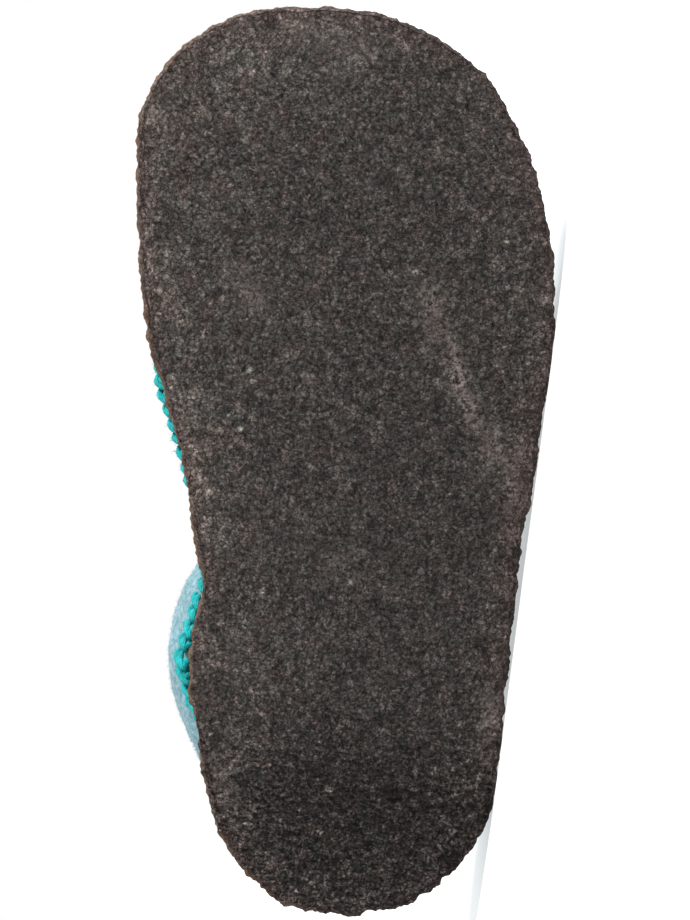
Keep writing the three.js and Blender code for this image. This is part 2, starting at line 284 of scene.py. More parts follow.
def grid_quads(rows, columns, wrap_rows=False, wrap_columns=False, first=0):
    """Four-cornered faces of a grid of points, stored row by row, joined round where it wraps."""
    row = np.arange(rows if wrap_rows else rows - 1)[:, None]
    column = np.arange(columns if wrap_columns else columns - 1)[None]
    below, beside = (row + 1) % rows, (column + 1) % columns
    quads = np.stack([row * columns + column, row * columns + beside,
                      below * columns + beside, below * columns + column], -1)
    return quads.reshape(-1, 4) + first


def new_piece(name, points, faces, material, replaced=()):
    """A smooth mesh object from shoe points and a list of face arrays, riding on the slipper."""
    mesh = bpy.data.meshes.new(name)
    placed = place(np.asarray(points, float))
    mesh.vertices.add(len(placed))
    mesh.vertices.foreach_set("co", placed.astype(np.float32).ravel())
    corner_count = np.concatenate([np.full(len(group), group.shape[1]) for group in faces])
    mesh.loops.add(int(corner_count.sum()))
    mesh.loops.foreach_set("vertex_index", np.concatenate([g.ravel() for g in faces]).astype(np.int32))
    mesh.polygons.add(len(corner_count))
    starts = np.concatenate([[0], np.cumsum(corner_count)[:-1]])
    mesh.polygons.foreach_set("loop_start", starts.astype(np.int32))
    mesh.update(calc_edges=True)
    mesh.validate()
    mesh.shade_smooth()
    mesh.materials.append(material)
    piece = bpy.data.objects.new(name, mesh)
    bpy.context.scene.collection.objects.link(piece)
    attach(piece, "root")
    if replaced:
        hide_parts(*replaced)
    return piece


def add_attribute(piece, name, values):
    """A number for each point of a piece, which its material reads by name."""
    layer = piece.data.attributes.new(name, "FLOAT", "POINT")
    layer.data.foreach_set("value", np.asarray(values, np.float32).ravel())


# Materials

RUBBER_GREY, RUBBER_BROWN = (0.0482, 0.0444, 0.0403), (0.0568, 0.0415, 0.0374)
# Below: the cream paints glints where light catches single specks; the tan is partly the edge's own
# colour, partly painted light on the inner side.
SCUFF_GREY, GLINT_CREAM, LIT_EDGE_TAN = (0.175, 0.142, 0.132), (0.420, 0.390, 0.340), (0.150, 0.086, 0.048)
# How the heel's flakes and the rubbed streaks are squeezed along each axis of the row
FLAKE_SQUEEZE, STREAK_SQUEEZE = (1.35, 1.35, 0.7), (1.7, 1.7, 0.4)
LEAST_FLAKE_BUMP = 0.35
# Felt: shade, body and bright colour, depth of its tangle
BLUE_FELT = (0.060, 0.164, 0.203), (0.129, 0.254, 0.294), (0.262, 0.398, 0.440), 0.6
GREY_FELT = (0.16, 0.17, 0.18), (0.25, 0.26, 0.275), (0.36, 0.37, 0.385), 0.35
# Yarn's turquoise, from painted shade in its furrows to painted highlight on its crowns
YARN_SHADED_TO_LIT = (
    (0.30, (0.0014, 0.144, 0.150)), (0.45, (0.0024, 0.272, 0.282)),
    (0.60, (0.0085, 0.385, 0.388)), (0.76, (0.0660, 0.495, 0.488)),
)
YARN_SPIN_LEAN = 0.6


def new_material(name):
    """A material with nodes: itself, its tree and its shader."""
    material = bpy.data.materials.new(name)
    material.use_nodes = True
    return material, material.node_tree, material.node_tree.nodes["Principled BSDF"]


def node(tree, kind, inputs=(), **settings):
    """A shader node with its settings, and its inputs set to values or linked to other sockets."""
    made = tree.nodes.new(kind)
    for name, value in settings.items():
        setattr(made, name, value)
    for key, value in dict(inputs).items():
        if isinstance(value, bpy.types.NodeSocket):
            tree.links.new(value, made.inputs[key])
        else:
            made.inputs[key].default_value = value
    return made


def millimetres(tree):
    """Object coordinates in millimetres."""
    return squeezed(tree, node(tree, "ShaderNodeTexCoord").outputs["Object"], (1000, 1000, 1000))


def squeezed(tree, where, scale):
    """Places scaled along each axis."""
    return node(tree, "ShaderNodeMapping", {"Vector": where, "Scale": scale}).outputs["Vector"]


def noise(tree, where, scale, detail=2.0, roughness=0.5, distortion=0.0):
    """Cloudy noise from 0 to 1, with about as many features per millimetre as its scale."""
    made = node(tree, "ShaderNodeTexNoise", {
        "Vector": where, "Scale": scale, "Detail": detail, "Roughness": roughness,
        "Distortion": distortion})
    return made.outputs["Fac"]


def ramp(tree, factor, *stops):
    """A colour ramp through (place, colour) stops."""
    made = node(tree, "ShaderNodeValToRGB", {"Fac": factor})
    elements = made.color_ramp.elements
    while len(elements) < len(stops):
        elements.new(0.5)
    for element, (position, colour) in zip(elements, stops):
        element.position = position
        element.color = (*colour, 1)
    return made.outputs["Color"]


def grey(value):
    """A grey colour."""
    return (value, value, value)


def mix(tree, factor, low, high, blend="MIX"):
    """Two colours mixed by a factor, or blended in another way by it."""
    low, high = ((*colour, 1) if isinstance(colour, tuple) else colour for colour in (low, high))
    made = node(tree, "ShaderNodeMix", {"Factor": factor, 6: low, 7: high},
                data_type="RGBA", blend_type=blend)
    return made.outputs[2]


def multiply(tree, colour, *shades):
    """A colour times each of the shades."""
    for shade in shades:
        colour = mix(tree, 1.0, colour, shade, "MULTIPLY")
    return colour


def maths(tree, operation, first, second=0.0):
    """One sum on two numbers."""
    return node(tree, "ShaderNodeMath", {0: first, 1: second}, operation=operation).outputs["Value"]


def attribute(tree, name):
    """A number that the piece holds for each of its points."""
    return node(tree, "ShaderNodeAttribute", attribute_name=name).outputs["Fac"]


def bump(tree, *layers):
    """The normal tilted by layers of (height, strength, depth in millimetres), one over another."""
    normal = None
    for height, strength, depth in layers:
        made = node(tree, "ShaderNodeBump", {
            "Height": height, "Strength": strength, "Distance": depth / 1000})
        if normal is not None:
            tree.links.new(normal, made.inputs["Normal"])
        normal = made.outputs["Normal"]
    return normal


def granules(tree, where, scale, stray):
    """Crumbs packed side by side: a random grey for each, how deep the gaps between them are, and
    how high each stands. The cells are pulled about by noise of their own size."""
    pull = node(tree, "ShaderNodeTexNoise", {"Vector": where, "Scale": scale * 1.3, "Detail": 2.0})
    moved = node(tree, "ShaderNodeVectorMath", {0: pull.outputs["Color"], 1: (stray / scale,) * 3},
                 operation="MULTIPLY")
    spot = node(tree, "ShaderNodeVectorMath", {0: where, 1: moved.outputs["Vector"]}, operation="ADD")
    cells = node(tree, "ShaderNodeTexVoronoi", {"Vector": spot.outputs["Vector"], "Scale": scale})
    gaps = node(tree, "ShaderNodeTexVoronoi", {"Vector": spot.outputs["Vector"], "Scale": scale},
                feature="DISTANCE_TO_EDGE")
    own = node(tree, "ShaderNodeSeparateColor", {"Color": cells.outputs["Color"]}).outputs["Red"]
    return own, gaps.outputs["Distance"], cells.outputs["Distance"]


def rubber_marks(tree, where, colour, crumb, speck):
    """The rubber's colour with grey flecks where it is scuffed, single pale specks painted where light
    glints, and tan streaks along the inner side's edge, partly its own colour and partly painted light."""
    fleck = ramp(tree, noise(tree, where, 1.2, 3.0, 0.7), (0.44, grey(0)), (0.60, grey(1)))
    # Speckle that breaks up the painted glints
    grain = ramp(tree, speck, (0.38, grey(0)), (0.52, grey(1)))
    tan_streaks = ramp(tree, crumb, (0.36, grey(0.25)), (0.6, grey(1)))
    marks = ("scuff", fleck, SCUFF_GREY), ("painted_glint", grain, GLINT_CREAM), ("tan_lit_edge", tan_streaks, LIT_EDGE_TAN)
    for name, pattern, paint in marks:
        colour = mix(tree, maths(tree, "MULTIPLY", attribute(tree, name), pattern), colour, paint)
    return colour


def granular_rubber():
    """Matt crumb rubber: greenish grey with reddish patches and a browner edge, built of coarse and
    fine crumbs with painted shade in the gaps between, darker and flaky at the heel with painted shade
    in its hollows, with its marks on top."""
    material, tree, shader = new_material("granular_rubber")
    where = millimetres(tree)
    patches = noise(tree, where, 0.30, 4.0, 0.62)
    coarse, coarse_gap_shade, coarse_dome = granules(tree, where, 0.95, 1.0)
    fine, fine_gap_shade, fine_dome = granules(tree, where, 2.1, 0.9)
    crumb = noise(tree, where, 1.6, 3.0, 0.7)
    lump = noise(tree, where, 0.42, 2.0, 0.55)
    speck = noise(tree, where, 2.0, 2.0, 0.6)
    veins = noise(tree, where, 0.8, 3.0, 0.6, 1.2)
    cracks = maths(tree, "ABSOLUTE", maths(tree, "SUBTRACT", veins, 0.5))
    streaks = noise(tree, squeezed(tree, where, STREAK_SQUEEZE), 1.0, 3.0, 0.65)
    flakes = noise(tree, squeezed(tree, where, FLAKE_SQUEEZE), 0.9, 3.0, 0.62, 0.4)
    reddish = ramp(tree, patches, (0.42, grey(0)), (0.66, grey(0.8)))
    brown = maths(tree, "MAXIMUM", attribute(tree, "rim"), reddish)
    tone = node(tree, "ShaderNodeCombineColor", {
        channel: attribute(tree, "tone") for channel in ("Red", "Green", "Blue")})
    colour = multiply(
        tree, mix(tree, brown, RUBBER_GREY, RUBBER_BROWN),
        ramp(tree, coarse, (0.0, grey(0.62)), (0.6, grey(1.0)), (0.9, grey(1.2)), (1.0, grey(1.5))),
        ramp(tree, fine, (0.0, grey(0.54)), (0.5, grey(1.0)), (0.9, grey(1.25)), (1.0, grey(1.6))),
        # Darker in the gaps between the crumbs: painted shade where the hollows are.
        ramp(tree, coarse_gap_shade, (0.0, grey(0.44)), (0.18, grey(1.06))),
        ramp(tree, fine_gap_shade, (0.0, grey(0.66)), (0.16, grey(1.05))),
        ramp(tree, crumb, (0.29, grey(0.24)), (0.43, grey(0.92)), (0.72, grey(1.55))),
        ramp(tree, lump, (0.28, grey(0.72)), (0.5, grey(1.02)), (0.72, grey(1.30))),
        ramp(tree, cracks, (0.0, grey(0.42)), (0.045, grey(1.08))),
        ramp(tree, streaks, (0.32, grey(0.78)), (0.5, grey(1.0)), (0.68, grey(1.24))),
        tone.outputs["Color"],
    )
    # On the heel: darker in the flakes' hollows and in pits, paler on their tops: painted shade and light
    # of the heel's relief.
    shaded_hollows = ramp(tree, flakes, (0.36, grey(0.32)), (0.47, grey(1.0)), (0.64, grey(1.7)))
    shaded_pits = ramp(tree, speck, (0.36, grey(0.42)), (0.5, grey(1.0)), (0.64, grey(1.8)))
    heel = attribute(tree, "coarse")
    colour = mix(tree, heel, colour, multiply(tree, shaded_hollows, shaded_pits), "MULTIPLY")
    colour = rubber_marks(tree, where, colour, crumb, speck)
    tree.links.new(colour, shader.inputs["Base Color"])
    roughness = ramp(tree, crumb, (0.3, grey(0.95)), (0.7, grey(0.72)))
    tree.links.new(roughness, shader.inputs["Roughness"])
    shader.inputs["Specular IOR Level"].default_value = 0.12
    lifted = bump(
        tree,
        (lump, 0.6, 0.9),
        (maths(tree, "SUBTRACT", 1.0, coarse_dome), 0.7, 0.45),
        (maths(tree, "SUBTRACT", 1.0, fine_dome), 0.7, 0.22),
        (crumb, 0.7, 0.35),
        (ramp(tree, cracks, (0.0, grey(0)), (0.06, grey(1))), 0.6, 0.3),
        (flakes, maths(tree, "MAXIMUM", heel, LEAST_FLAKE_BUMP), 2.2),
    )
    tree.links.new(lifted, shader.inputs["Normal"])
    return material


def felt(name, shade, body, bright, depth):
    """Felted wool: a cloudy colour between shade and bright, crossed by fine tangled fibres that
    also roughen the surface, with a soft sheen."""
    material, tree, shader = new_material(name)
    where = millimetres(tree)
    cloud = noise(tree, where, 0.16, 3.0, 0.6)
    clump = noise(tree, where, 1.0, 4.0, 0.65, 1.1)
    fibre = noise(tree, where, 2.6, 4.0, 0.75, 2.2)
    colour = multiply(
        tree, ramp(tree, clump, (0.34, shade), (0.5, body), (0.67, bright)),
        ramp(tree, fibre, (0.28, grey(0.58)), (0.5, grey(1.0)), (0.74, grey(1.42))),
        ramp(tree, cloud, (0.3, grey(0.88)), (0.7, grey(1.1))),
    )
    tree.links.new(colour, shader.inputs["Base Color"])
    shader.inputs["Roughness"].default_value = 0.95
    shader.inputs["Specular IOR Level"].default_value = 0.15
    shader.inputs["Sheen Weight"].default_value = 0.22
    shader.inputs["Sheen Roughness"].default_value = 0.6
    shader.inputs["Sheen Tint"].default_value = (0.85, 0.95, 1.0, 1)
    lifted = bump(tree, (clump, 0.5, depth), (fibre, 0.6, depth * 0.45))
    tree.links.new(lifted, shader.inputs["Normal"])
    return material


def wool_yarn():
    """Turquoise wool yarn: fine fibres that wind round each ply, read from its own UV map, with painted
    highlight on its crowns, painted shade in its deep furrows, and a cloudy dye."""
    material, tree, shader = new_material("turquoise_yarn")
    lie = node(tree, "ShaderNodeUVMap", uv_map="ply").outputs["UV"]
    turned = node(tree, "ShaderNodeMapping", {"Vector": lie, "Rotation": (0, 0, YARN_SPIN_LEAN)})
    spun = node(tree, "ShaderNodeTexWave", {
        "Vector": turned.outputs["Vector"], "Scale": 0.9, "Distortion": 2.5, "Detail": 3.0,
        "Detail Scale": 2.0}, wave_type="BANDS", bands_direction="X").outputs["Fac"]
    where = millimetres(tree)
    fibre = noise(tree, where, 2.6, 4.0, 0.7, 1.5)
    dye = noise(tree, where, 0.35, 2.0, 0.5)
    # The fibre ramp paints shade in the furrows and highlight on the crowns.
    colour = multiply(
        tree, ramp(tree, fibre, *YARN_SHADED_TO_LIT),
        ramp(tree, spun, (0.1, grey(0.74)), (0.8, grey(1.2))),
        ramp(tree, dye, (0.3, grey(0.82)), (0.7, grey(1.18))),
    )
    tree.links.new(colour, shader.inputs["Base Color"])
    shader.inputs["Roughness"].default_value = 0.85
    shader.inputs["Specular IOR Level"].default_value = 0.15
    shader.inputs["Sheen Weight"].default_value = 0.12
    shader.inputs["Sheen Tint"].default_value = (0.3, 1.0, 1.0, 1)
    tree.links.new(bump(tree, (spun, 0.7, 0.22), (fibre, 0.6, 0.15)), shader.inputs["Normal"])
    return material


def plain_floor():
    """A white table that glows a little, so that shadows on it stay pale."""
    material, _, shader = new_material("pale_floor")
    shader.inputs["Base Color"].default_value = (0.55, 0.55, 0.548, 1)
    shader.inputs["Roughness"].default_value = 0.9
    shader.inputs["Specular IOR Level"].default_value = 0.1
    shader.inputs["Emission Color"].default_value = (1, 1, 1, 1)
    shader.inputs["Emission Strength"].default_value = FLOOR_GLOW
    return material


# The outsole

TREAD_LONG, TREAD_WIDE = 356, 168
BALL_HALF_WIDTH = 36.0
SIDE_ROWS, TOP_ROWS = 15, 7
TOP_INSET, TOP_SPACING = 13.0, 1.5
RIM_INSET = SOLE_EDGE_ROUND * (1 - np.cos(np.radians(SOLE_EDGE_STEEPEST)))
# Degrees round the edge where its tan begins and is full, and how far towards the outer side an
# edge may face for the tan, partly painted light, and for the inner side's tone
LIT_EDGE_FROM, LIT_EDGE_TO = -50.0, -20.0
LIT_EDGE_FACING, INNER_FACING = 0.3, 0.5
# Relief of the rubber: the size of each kind of grain, and how far it lifts the surface
CRUMB_SIZE, CRUMB_LIFT, EDGE_CRUMB_LIFT = 0.95, 0.28, 0.12
FINE_SIZE, FINE_LIFT = 0.62, 0.10
SWING_SIZE, SWING_LIFT = 5.0, 0.10
RIDGE_SIZE, RIDGE_LIFT, HEEL_RIDGE_LIFT = 2.2, 0.10, 0.16
RIDGE_STRETCH = (1.0, 0.65, 1.0)
HEEL_LUMP_SIZE, HEEL_LUMP_LIFT = 1.8, 0.55
HEEL_COARSENING = 0.7
# Raggedness of the edge: sizes of its notches, share of the smaller ones, how deep, how far in
NOTCH_SIZE, SMALL_NOTCH_SIZE, SMALL_NOTCH_SHARE, NOTCH_DEPTH, EDGE_REACH = 2.0, 1.2, 0.6, 0.34, 2.2
# Browner rim: how wide, how sharply it ends, and the size and share of its raggedness
RIM_WIDTH, RIM_SHARPNESS, RIM_RAG_SIZE, RIM_RAG = 3.4, 1.5, 6.0, 0.6

# Scuffed places on the tread: lines of (along, across), half width and strength
SCUFFS = (
    (((110.5, 13.8), (106, 15.6), (101, 17.4)), 3.2, 0.50),
    (((101, 17.4), (96, 18.5)), 2.0, 0.55),
    (((95, 19.2), (92.4, 20.1), (88, 22.0)), 1.6, 1.20),
    (((88, 22.0), (85.4, 24.0), (82.7, 26.5)), 1.6, 0.80),
    (((82.7, 26.5), (78.7, 28.4), (73.5, 29.6)), 2.7, 0.75),
    (((112, -19), (108, -15)), 3.0, 0.40),
    (((146, -33), (141, -34)), 1.8, 0.60),
    (((155, -8), (151, 3)), 2.8, 0.40),
    (((66, -12), (60, 6)), 5.0, 0.12),
    (((27, -22), (21, -20)), 2.4, 0.40),
    (((37, 26), (27, 24.5)), 2.2, 0.45),
)
# Painted glints: single pale specks painted where light glints off the rubber, (along, across), half size
PAINTED_GLINTS = (
    (94.4, -30.5, 0.28), (92.8, -30.9, 0.26), (95.8, -17.1, 0.40), (85.6, -18.7, 0.35),
    (74.6, -24.2, 0.40), (57.0, -14.8, 0.35), (58.6, 0.5, 0.35), (14.7, -4.9, 0.34), (22.1, -2.8, 0.26),
    (113.0, 12.0, 0.35), (118.5, 28.0, 0.35),
)
# Tones: how much paler or darker, where it begins and where it is full, or how far it reaches
HEEL_DARKENING, HEEL_DARK_FROM, HEEL_DARK_TO = 0.50, 51.0, 17.0
WAIST_DARKENING, WAIST_DARK_AT, WAIST_DARK_REACH = 0.17, 64.0, 17.0
TOE_PALING, TOE_PALE_FROM, TOE_PALE_TO = 0.12, 124.0, 154.0
TOE_PALE_INNER, TOE_PALE_OUTER, TOE_OUTER_DARKENING = -12.0, 24.0, 0.17
HEEL_DARK_INSET = 13.0
HEEL_SIDES_DARK, HEEL_TIP_DARK, HEEL_TIP_FROM, HEEL_TIP_TO = 0.10, 0.60, 32.0, 12.0
# The inner edge is paler than the outer one: painted light on the side that faces the lamps.
INNER_EDGE_PALE_AND_LIT, INNER_EDGE_PALE_WIDTH = 0.90, 9.0
OUTER_EDGE_PALING, OUTER_EDGE_PALE_WIDTH = 0.42, 5.0
PALE_PATCH_SIZE = 4.5
SCUFF_FULLNESS, SCUFF_BREAKS, SCUFF_BREAK_SIZE = 0.8, 0.7, 2.2
# Where the edge stands out or is worn in: (along, across), half length, how far out
EDGE_WEAR = (
    (0.0, 0.0, 15.0, -0.25), (95.5, 35.5, 4.0, 0.75), (74.0, 31.8, 5.0, 0.55), (18.0, -24.2, 6.0, 0.15),
    (2.6, -11.6, 1.6, 0.55), (4.4, -14.6, 2.4, -0.35), (155.3, -26.0, 3.0, -0.45),
    (119.5, 35.5, 4.0, 0.35), (15.5, 23.8, 4.0, 0.25), (6.8, 17.8, 3.0, 0.10), (34.0, -26.6, 4.0, -0.30),
    (131.0, 32.8, 5.0, 0.25), (141.5, -36.0, 3.0, 0.2),
)


def distance_to_line(points, line):
    """Distance of each point from a line of straight stretches, in the same plane."""
    best = np.full(points.shape[:-1], np.inf)
    for start, end in zip(np.array(line[:-1], float), np.array(line[1:], float)):
        stretch = end - start
        share = np.clip((points - start) @ stretch / (stretch @ stretch), 0, 1)
        best = np.minimum(best, np.linalg.norm(points - start - share[..., None] * stretch, axis=-1))
    return best


def eased(share):
    """A smooth step from 0 to 1."""
    share = np.clip(share, 0, 1)
    return share * share * (3 - 2 * share)


def heel_share(points):
    """0 ahead of the heel, 1 on it."""
    return eased((HEEL_DARK_FROM - points[:, 0]) / (HEEL_DARK_FROM - HEEL_DARK_TO))


def tread_tone(points, to_edge, outward):
    """Brightness of the rubber: 1, a little darker at the waist, much darker on the heel but for
    its sides, paler at the big toe, darker at the small toes, and paler in patches along the edges,
    most on the inner side, where the extra paleness is painted light from the side the lamps light."""
    along, across = points[:, 0], points[:, 1]
    tip = eased((HEEL_TIP_FROM - along) / (HEEL_TIP_FROM - HEEL_TIP_TO))
    at_edge = HEEL_SIDES_DARK + (HEEL_TIP_DARK - HEEL_SIDES_DARK) * tip
    heel = heel_share(points) * (at_edge + (1 - at_edge) * eased(to_edge / HEEL_DARK_INSET))
    waist = np.exp(-((along - WAIST_DARK_AT) / WAIST_DARK_REACH) ** 2)
    toe = eased((along - TOE_PALE_FROM) / (TOE_PALE_TO - TOE_PALE_FROM))
    big_toe = eased((TOE_PALE_OUTER - across) / (TOE_PALE_OUTER - TOE_PALE_INNER))
    toe *= TOE_PALING * big_toe - TOE_OUTER_DARKENING * (1 - big_toe)
    inner = eased(INNER_FACING - outward[:, 1])
    patchy = np.maximum(1 + lumps(points, PALE_PATCH_SIZE, SEED + 41), 0)
    # Paler along the edges in patches; the inner side's greater paleness is painted light.
    edge = (inner * INNER_EDGE_PALE_AND_LIT * np.exp(-to_edge / INNER_EDGE_PALE_WIDTH)
            + (1 - inner) * OUTER_EDGE_PALING * np.exp(-to_edge / OUTER_EDGE_PALE_WIDTH))
    paler = 1 + toe + edge * patchy
    return paler * (1 - WAIST_DARKENING * waist) * (1 - HEEL_DARKENING * heel)


def tread_scuff(points):
    """How scuffed the rubber is: a bell across each scuff line, broken up by noise."""
    scuff = np.zeros(len(points))
    broken = SCUFF_FULLNESS + SCUFF_BREAKS * lumps(points, SCUFF_BREAK_SIZE, SEED + 40)
    for line, half_width, strength in SCUFFS:
        reach = distance_to_line(points[:, :2], line) / half_width
        scuff = np.maximum(scuff, strength * broken * np.exp(-reach**2))
    return np.clip(scuff, 0, 1) * on_tread(points)


def painted_glints(points):
    """The painted glints: a small steep bell at each pale speck where light glints."""
    pale = np.zeros(len(points))
    for along, across, size in PAINTED_GLINTS:
        reach = np.hypot(points[:, 0] - along, points[:, 1] - across) / size
        pale = np.maximum(pale, np.exp(-reach**2))
    return pale * on_tread(points)


def on_tread(points):
    """Whether points lie on the tread or low on the edge."""
    return points[:, 2] < SOLE_THICKNESS / 2 + TOE_SPRING


def edge_wear(points):
    """How far the worn edge stands out: a bell round each place in the table."""
    out = np.zeros(len(points))
    for along, across, half_length, proud in EDGE_WEAR:
        reach = np.hypot(points[:, 0] - along, points[:, 1] - across) / half_length
        out += proud * np.exp(-reach**2)
    return out


def tread_disc():
    """The tread as a square grid drawn out to the sole's outline: the square becomes a disc, the
    disc an ellipse, and each point then moves along its ray until the ellipse's edge meets the
    outline. Returns the plan points, and the numbers of those along the grid's rim."""
    u, v = np.meshgrid(np.linspace(-1, 1, TREAD_LONG), np.linspace(-1, 1, TREAD_WIDE), indexing="ij")
    disc = np.stack([u * np.sqrt(1 - v * v / 2), v * np.sqrt(1 - u * u / 2)], -1)
    half = np.array([SOLE_LENGTH / 2, BALL_HALF_WIDTH])
    centre = np.array([SOLE_LENGTH / 2, 0.0])
    edge = OUTLINE - OUTWARD * RIM_INSET - centre
    edge_angle = np.arctan2(edge[:, 1], edge[:, 0])
    order = np.argsort(edge_angle)
    ray = disc * half
    angle = np.arctan2(ray[..., 1], ray[..., 0])
    ellipse = 1 / np.hypot(np.cos(angle) / half[0], np.sin(angle) / half[1])
    reach = np.interp(angle, edge_angle[order], np.linalg.norm(edge, axis=1)[order], period=2 * np.pi)
    plan = centre + ray * (reach / ellipse)[..., None]
    ids = np.arange(TREAD_LONG * TREAD_WIDE).reshape(TREAD_LONG, TREAD_WIDE)
    rim = np.concatenate([ids[0, :-1], ids[:-1, -1], ids[-1, :0:-1], ids[:0:-1, 0]])
    return plan.reshape(-1, 2), rim


def rim_shares(rim_plan):
    """Share of the outline nearest to each rim point, from the outline's own table."""
    edge = OUTLINE - OUTWARD * RIM_INSET
    gap = np.linalg.norm(rim_plan[:, None] - edge[None, ::2], axis=-1)
    return gap.argmin(1) * 2 / len(OUTLINE)


def outsole_rings(edge, outward):
    """Rings up the edge, which is an arc drawn out to the sole's thickness, and in over the top:
    their points, their normals and how much of the edge's tan each ring takes, partly painted light."""
    turns = np.radians(np.linspace(-SOLE_EDGE_STEEPEST, SOLE_EDGE_STEEPEST, SIDE_ROWS))[1:]
    steepest = np.sin(np.radians(SOLE_EDGE_STEEPEST))
    rows = []
    for turn in turns:
        inset = SOLE_EDGE_ROUND * (1 - np.cos(turn))
        height = SOLE_THICKNESS / 2 * (1 + np.sin(turn) / steepest)
        lit_edge = eased((np.degrees(turn) - LIT_EDGE_FROM) / (LIT_EDGE_TO - LIT_EDGE_FROM))
        rows.append((inset, height, np.cos(turn), np.sin(turn), lit_edge))
    edge_top = rows[-1][0]
    for part in np.linspace(0, 1, TOP_ROWS + 1)[1:]:
        rows.append((edge_top + TOP_INSET * part**TOP_SPACING, SOLE_THICKNESS, 0.0, 1.0, 1.0))
    rings, normals = [], []
    for inset, height, out, rise, _ in rows:
        ring = edge - outward * inset
        rings.append(np.column_stack([ring, tread_height(ring[:, 0]) + height]))
        normals.append(np.column_stack([outward * out, np.full(len(ring), rise)]))
    return rings, normals, [lit_edge for *_, lit_edge in rows]


def rubber_relief(points, to_edge, heel):
    """How far the rubber is lifted: crumbs, fine grain and broad swings, coarser on the heel, plus
    ridges and the heel's lumps. Also how far notches and wear move its edge outwards."""
    near_edge = np.exp(-(to_edge / EDGE_REACH) ** 2)
    crumb = 0.5 - crumbs(points, CRUMB_SIZE, SEED)
    fine = lumps(points, FINE_SIZE, SEED + 11)
    swing = lumps(points, SWING_SIZE, SEED + 13)
    ridges = lumps(points * RIDGE_STRETCH, RIDGE_SIZE, SEED + 16)
    heel_lumps = 0.5 - crumbs(points, HEEL_LUMP_SIZE, SEED + 17)
    lift = (1 + HEEL_COARSENING * heel) * (CRUMB_LIFT * crumb + FINE_LIFT * fine + SWING_LIFT * swing)
    lift += near_edge * EDGE_CRUMB_LIFT * crumb + (RIDGE_LIFT + HEEL_RIDGE_LIFT * heel) * ridges
    lift += HEEL_LUMP_LIFT * heel * heel_lumps
    notches = lumps(points, NOTCH_SIZE, SEED + 12)
    notches += SMALL_NOTCH_SHARE * lumps(points, SMALL_NOTCH_SIZE, SEED + 14)
    return lift, near_edge * (NOTCH_DEPTH * notches + edge_wear(points))


def outsole_faces(rim, rows, first):
    """The tread's grid, a band that joins its rim to the first ring, the rings, and a cap of
    triangles from the last ring to the one point after it."""
    ring = np.arange(len(rim))
    after = (ring + 1) % len(rim)
    join = np.stack([rim, np.roll(rim, -1), first + after, first + ring], -1)
    side = grid_quads(rows, len(rim), wrap_columns=True, first=first)
    last = first + (rows - 1) * len(rim)
    cap = np.stack([last + ring, last + after, np.full(len(rim), last + len(rim))], -1)
    return [grid_quads(TREAD_LONG, TREAD_WIDE), join, side, cap]


def make_outsole(material):
    """The tread grid, then rings up the rounded edge and in over the top, closed on one point. The
    relief lifts every point along its normal and moves the edge outwards in plan."""
    plan, rim = tread_disc()
    edge, outward = round_outline(rim_shares(plan[rim]))
    rings, normals, lit_edges = outsole_rings(edge, outward)
    tread = np.column_stack([plan, tread_height(plan[:, 0])])
    down = np.tile((0.0, 0.0, -1.0), (len(tread), 1))
    first_turn = np.radians(-SOLE_EDGE_STEEPEST)
    down[rim] = np.column_stack([outward * np.cos(first_turn), np.full(len(rim), np.sin(first_turn))])
    points = np.concatenate([tread, *rings, [[SOLE_LENGTH / 2, 0, SOLE_THICKNESS]]])
    normal = np.concatenate([down, *normals, [[0, 0, 1.0]]])
    found, reach = nearest_on_outline(plan)
    to_edge = np.concatenate([reach, np.zeros(len(points) - len(plan))])
    flat_out = np.concatenate([OUTWARD[found], *[outward] * len(rings), [[0, 0]]])
    heel = heel_share(points)
    lift, outward_lift = rubber_relief(points, to_edge, heel)
    points = points + normal * lift[:, None]
    points[:, :2] += flat_out * outward_lift[:, None]
    faces = outsole_faces(rim, len(rings), len(tread))
    piece = new_piece("outsole_rubber", points, faces, material, ["outsole"])
    ragged = to_edge * (1 + RIM_RAG * lumps(points, RIM_RAG_SIZE, SEED + 15))
    tan_lit_edge = np.concatenate([np.zeros(len(tread)), np.repeat(lit_edges, len(rim)), [1]])
    add_attribute(piece, "rim", np.exp(-(ragged / RIM_WIDTH) ** RIM_SHARPNESS))
    add_attribute(piece, "tone", tread_tone(points, to_edge, flat_out))
    # Tan on the edges that face the inner side: partly the edge's own colour, partly painted light where
    # the lamps fall.
    add_attribute(piece, "tan_lit_edge", tan_lit_edge * eased(LIT_EDGE_FACING - flat_out[:, 1]))
    add_attribute(piece, "coarse", heel)
    add_attribute(piece, "scuff", tread_scuff(points))
    # Pale specks painted where light glints off the tread.
    add_attribute(piece, "painted_glint", painted_glints(points))
    return piece


def nearest_on_outline(plan, stride=12):
    """Number of the nearest point of the sole's outline, and its distance, for plan points."""
    best = np.full(len(plan), np.inf)
    found = np.zeros(len(plan), int)
    for number in range(0, len(OUTLINE), stride):
        reach = np.hypot(*(plan - OUTLINE[number]).T)
        closer = reach < best
        best[closer] = reach[closer]
        found[closer] = number
    return found, best


# The upper

UPPER_AROUND, UPPER_UP, UPPER_LIP, UPPER_DOWN = 540, 96, 7, 42

